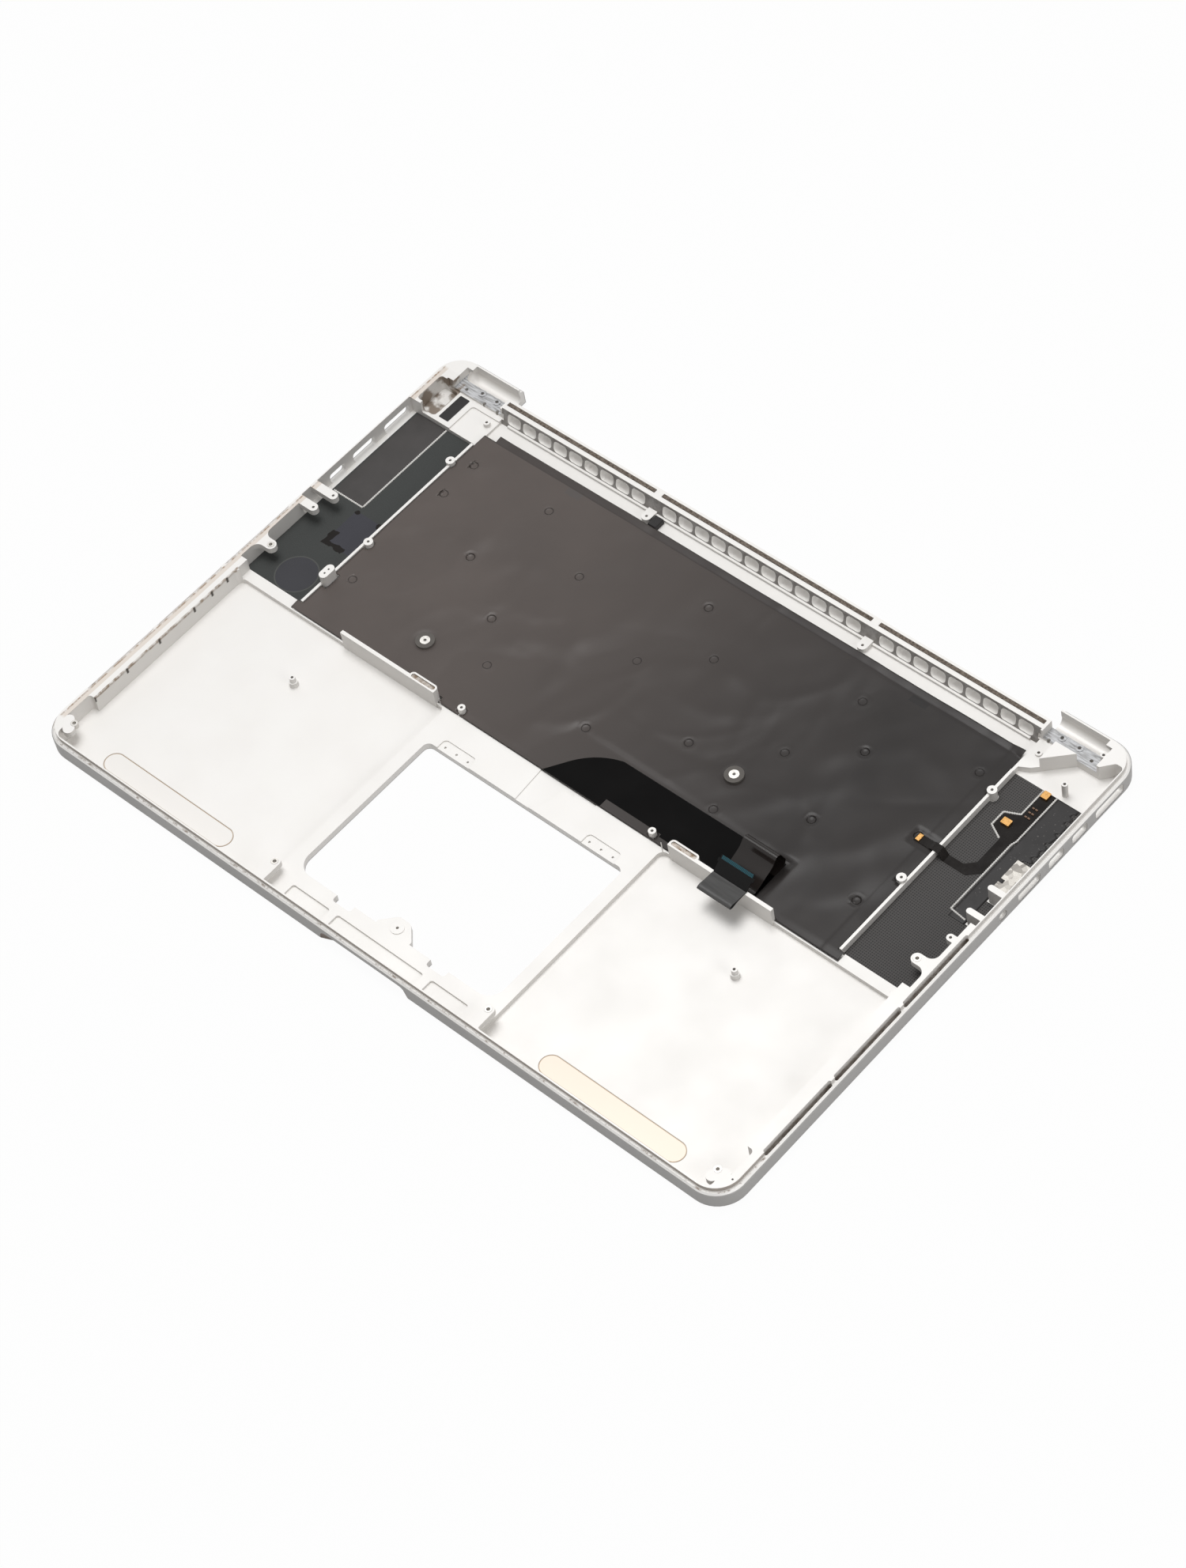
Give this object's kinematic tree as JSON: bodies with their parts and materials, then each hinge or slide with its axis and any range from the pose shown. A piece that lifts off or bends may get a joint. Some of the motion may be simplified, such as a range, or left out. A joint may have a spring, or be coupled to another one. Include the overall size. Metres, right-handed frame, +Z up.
{
  "type": "laptop top case with keyboard",
  "caption": "Milled aluminium notebook top case seen from inside, with keyboard, film, ribbon, speaker cloths, trackpad opening and exhaust bar.",
  "frame": {"origin": "on the table under the middle of the case, which lies on its palm rest with the inside up", "axes": "+X along the front edge towards the side with the charging port, +Y to the hinge edge, +Z up"},
  "size_m": [0.359, 0.247, 0.0157],
  "materials": {
    "milled_aluminium": "fine bead-blasted, bright where machined",
    "key_plastic": "smooth matt black",
    "switch_sheet": "matt dark rubber and sheet",
    "steel_plate": "plain rolled",
    "light_guide": "smooth pale",
    "screw_steel": "plain turned",
    "cover_film": "warm dark grey satin film",
    "turned_steel": "bright turned",
    "black_plastic": "matt black",
    "ribbon_black": "glossy near-black flex",
    "contact_teal": "dark teal strip",
    "tape_grey": "grey satin tape",
    "speaker_cloth": "woven dark cloth",
    "gold_metal": "gold plated",
    "gasket_foam": "brown-grey foam strip",
    "inlay_steel": "cream-toned plate",
    "insert_brass": "plated insert",
    "bracket_tin": "mottled bright tin"
  },
  "bodies": {
    "case": {"top_case": "milled_aluminium", "key_carrier": "switch_sheet", "key_plate": "steel_plate", "backlight_guide": "light_guide", "keyboard_screws": "screw_steel", "keyboard_cover_film": "cover_film", "film_standoffs": "turned_steel", "film_washers": "black_plastic", "keyboard_ribbon": "ribbon_black", "ribbon_tail": "ribbon_black", "ribbon_tape": "tape_grey", "ribbon_stiffener": "black_plastic", "ribbon_contacts": "contact_teal", "right_speaker_cloth": "speaker_cloth", "left_speaker_cloth": "speaker_cloth", "port_film": "black_plastic", "left_film": "black_plastic", "microphone_flex": "ribbon_black", "microphones": "gold_metal", "microphone_plug": "gold_metal", "flex_components": "black_plastic", "rear_gaskets": "gasket_foam", "palm_inlays": "inlay_steel", "threaded_inserts": "insert_brass", "rib_clips": "turned_steel", "backlight_connector": "black_plastic", "port_bracket": "bracket_tin", "corner_film": "black_plastic"},
    "a_key_body": {"key_a": "key_plastic"},
    "b_key_body": {"key_b": "key_plastic"},
    "c_key_body": {"key_c": "key_plastic"},
    "d_key_body": {"key_d": "key_plastic"},
    "e_key_body": {"key_e": "key_plastic"},
    "f_key_body": {"key_f": "key_plastic"},
    "g_key_body": {"key_g": "key_plastic"},
    "h_key_body": {"key_h": "key_plastic"},
    "i_key_body": {"key_i": "key_plastic"},
    "j_key_body": {"key_j": "key_plastic"},
    "k_key_body": {"key_k": "key_plastic"},
    "l_key_body": {"key_l": "key_plastic"},
    "m_key_body": {"key_m": "key_plastic"},
    "n_key_body": {"key_n": "key_plastic"},
    "o_key_body": {"key_o": "key_plastic"},
    "p_key_body": {"key_p": "key_plastic"},
    "q_key_body": {"key_q": "key_plastic"},
    "r_key_body": {"key_r": "key_plastic"},
    "s_key_body": {"key_s": "key_plastic"},
    "t_key_body": {"key_t": "key_plastic"},
    "u_key_body": {"key_u": "key_plastic"},
    "v_key_body": {"key_v": "key_plastic"},
    "w_key_body": {"key_w": "key_plastic"},
    "x_key_body": {"key_x": "key_plastic"},
    "y_key_body": {"key_y": "key_plastic"},
    "z_key_body": {"key_z": "key_plastic"},
    "space_key_body": {"key_space": "key_plastic"},
    "shift_left_key_body": {"key_shift_left": "key_plastic"},
    "shift_right_key_body": {"key_shift_right": "key_plastic"},
    "caps_key_body": {"key_caps": "key_plastic"},
    "return_key_body": {"key_return": "key_plastic"},
    "tab_key_body": {"key_tab": "key_plastic"}
  },
  "joints": [
    {"name": "a_key_press", "type": "slide", "parent": "case", "child": "a_key_body", "axis": [0, 0, 1], "range_m": [0, 0.0012], "stiffness_N_per_m": 450},
    {"name": "b_key_press", "type": "slide", "parent": "case", "child": "b_key_body", "axis": [0, 0, 1], "range_m": [0, 0.0012], "stiffness_N_per_m": 450},
    {"name": "c_key_press", "type": "slide", "parent": "case", "child": "c_key_body", "axis": [0, 0, 1], "range_m": [0, 0.0012], "stiffness_N_per_m": 450},
    {"name": "d_key_press", "type": "slide", "parent": "case", "child": "d_key_body", "axis": [0, 0, 1], "range_m": [0, 0.0012], "stiffness_N_per_m": 450},
    {"name": "e_key_press", "type": "slide", "parent": "case", "child": "e_key_body", "axis": [0, 0, 1], "range_m": [0, 0.0012], "stiffness_N_per_m": 450},
    {"name": "f_key_press", "type": "slide", "parent": "case", "child": "f_key_body", "axis": [0, 0, 1], "range_m": [0, 0.0012], "stiffness_N_per_m": 450},
    {"name": "g_key_press", "type": "slide", "parent": "case", "child": "g_key_body", "axis": [0, 0, 1], "range_m": [0, 0.0012], "stiffness_N_per_m": 450},
    {"name": "h_key_press", "type": "slide", "parent": "case", "child": "h_key_body", "axis": [0, 0, 1], "range_m": [0, 0.0012], "stiffness_N_per_m": 450},
    {"name": "i_key_press", "type": "slide", "parent": "case", "child": "i_key_body", "axis": [0, 0, 1], "range_m": [0, 0.0012], "stiffness_N_per_m": 450},
    {"name": "j_key_press", "type": "slide", "parent": "case", "child": "j_key_body", "axis": [0, 0, 1], "range_m": [0, 0.0012], "stiffness_N_per_m": 450},
    {"name": "k_key_press", "type": "slide", "parent": "case", "child": "k_key_body", "axis": [0, 0, 1], "range_m": [0, 0.0012], "stiffness_N_per_m": 450},
    {"name": "l_key_press", "type": "slide", "parent": "case", "child": "l_key_body", "axis": [0, 0, 1], "range_m": [0, 0.0012], "stiffness_N_per_m": 450},
    {"name": "m_key_press", "type": "slide", "parent": "case", "child": "m_key_body", "axis": [0, 0, 1], "range_m": [0, 0.0012], "stiffness_N_per_m": 450},
    {"name": "n_key_press", "type": "slide", "parent": "case", "child": "n_key_body", "axis": [0, 0, 1], "range_m": [0, 0.0012], "stiffness_N_per_m": 450},
    {"name": "o_key_press", "type": "slide", "parent": "case", "child": "o_key_body", "axis": [0, 0, 1], "range_m": [0, 0.0012], "stiffness_N_per_m": 450},
    {"name": "p_key_press", "type": "slide", "parent": "case", "child": "p_key_body", "axis": [0, 0, 1], "range_m": [0, 0.0012], "stiffness_N_per_m": 450},
    {"name": "q_key_press", "type": "slide", "parent": "case", "child": "q_key_body", "axis": [0, 0, 1], "range_m": [0, 0.0012], "stiffness_N_per_m": 450},
    {"name": "r_key_press", "type": "slide", "parent": "case", "child": "r_key_body", "axis": [0, 0, 1], "range_m": [0, 0.0012], "stiffness_N_per_m": 450},
    {"name": "s_key_press", "type": "slide", "parent": "case", "child": "s_key_body", "axis": [0, 0, 1], "range_m": [0, 0.0012], "stiffness_N_per_m": 450},
    {"name": "t_key_press", "type": "slide", "parent": "case", "child": "t_key_body", "axis": [0, 0, 1], "range_m": [0, 0.0012], "stiffness_N_per_m": 450},
    {"name": "u_key_press", "type": "slide", "parent": "case", "child": "u_key_body", "axis": [0, 0, 1], "range_m": [0, 0.0012], "stiffness_N_per_m": 450},
    {"name": "v_key_press", "type": "slide", "parent": "case", "child": "v_key_body", "axis": [0, 0, 1], "range_m": [0, 0.0012], "stiffness_N_per_m": 450},
    {"name": "w_key_press", "type": "slide", "parent": "case", "child": "w_key_body", "axis": [0, 0, 1], "range_m": [0, 0.0012], "stiffness_N_per_m": 450},
    {"name": "x_key_press", "type": "slide", "parent": "case", "child": "x_key_body", "axis": [0, 0, 1], "range_m": [0, 0.0012], "stiffness_N_per_m": 450},
    {"name": "y_key_press", "type": "slide", "parent": "case", "child": "y_key_body", "axis": [0, 0, 1], "range_m": [0, 0.0012], "stiffness_N_per_m": 450},
    {"name": "z_key_press", "type": "slide", "parent": "case", "child": "z_key_body", "axis": [0, 0, 1], "range_m": [0, 0.0012], "stiffness_N_per_m": 450},
    {"name": "space_key_press", "type": "slide", "parent": "case", "child": "space_key_body", "axis": [0, 0, 1], "range_m": [0, 0.0012], "stiffness_N_per_m": 450},
    {"name": "shift_left_key_press", "type": "slide", "parent": "case", "child": "shift_left_key_body", "axis": [0, 0, 1], "range_m": [0, 0.0012], "stiffness_N_per_m": 450},
    {"name": "shift_right_key_press", "type": "slide", "parent": "case", "child": "shift_right_key_body", "axis": [0, 0, 1], "range_m": [0, 0.0012], "stiffness_N_per_m": 450},
    {"name": "caps_key_press", "type": "slide", "parent": "case", "child": "caps_key_body", "axis": [0, 0, 1], "range_m": [0, 0.0012], "stiffness_N_per_m": 450},
    {"name": "return_key_press", "type": "slide", "parent": "case", "child": "return_key_body", "axis": [0, 0, 1], "range_m": [0, 0.0012], "stiffness_N_per_m": 450},
    {"name": "tab_key_press", "type": "slide", "parent": "case", "child": "tab_key_body", "axis": [0, 0, 1], "range_m": [0, 0.0012], "stiffness_N_per_m": 450}
  ]
}
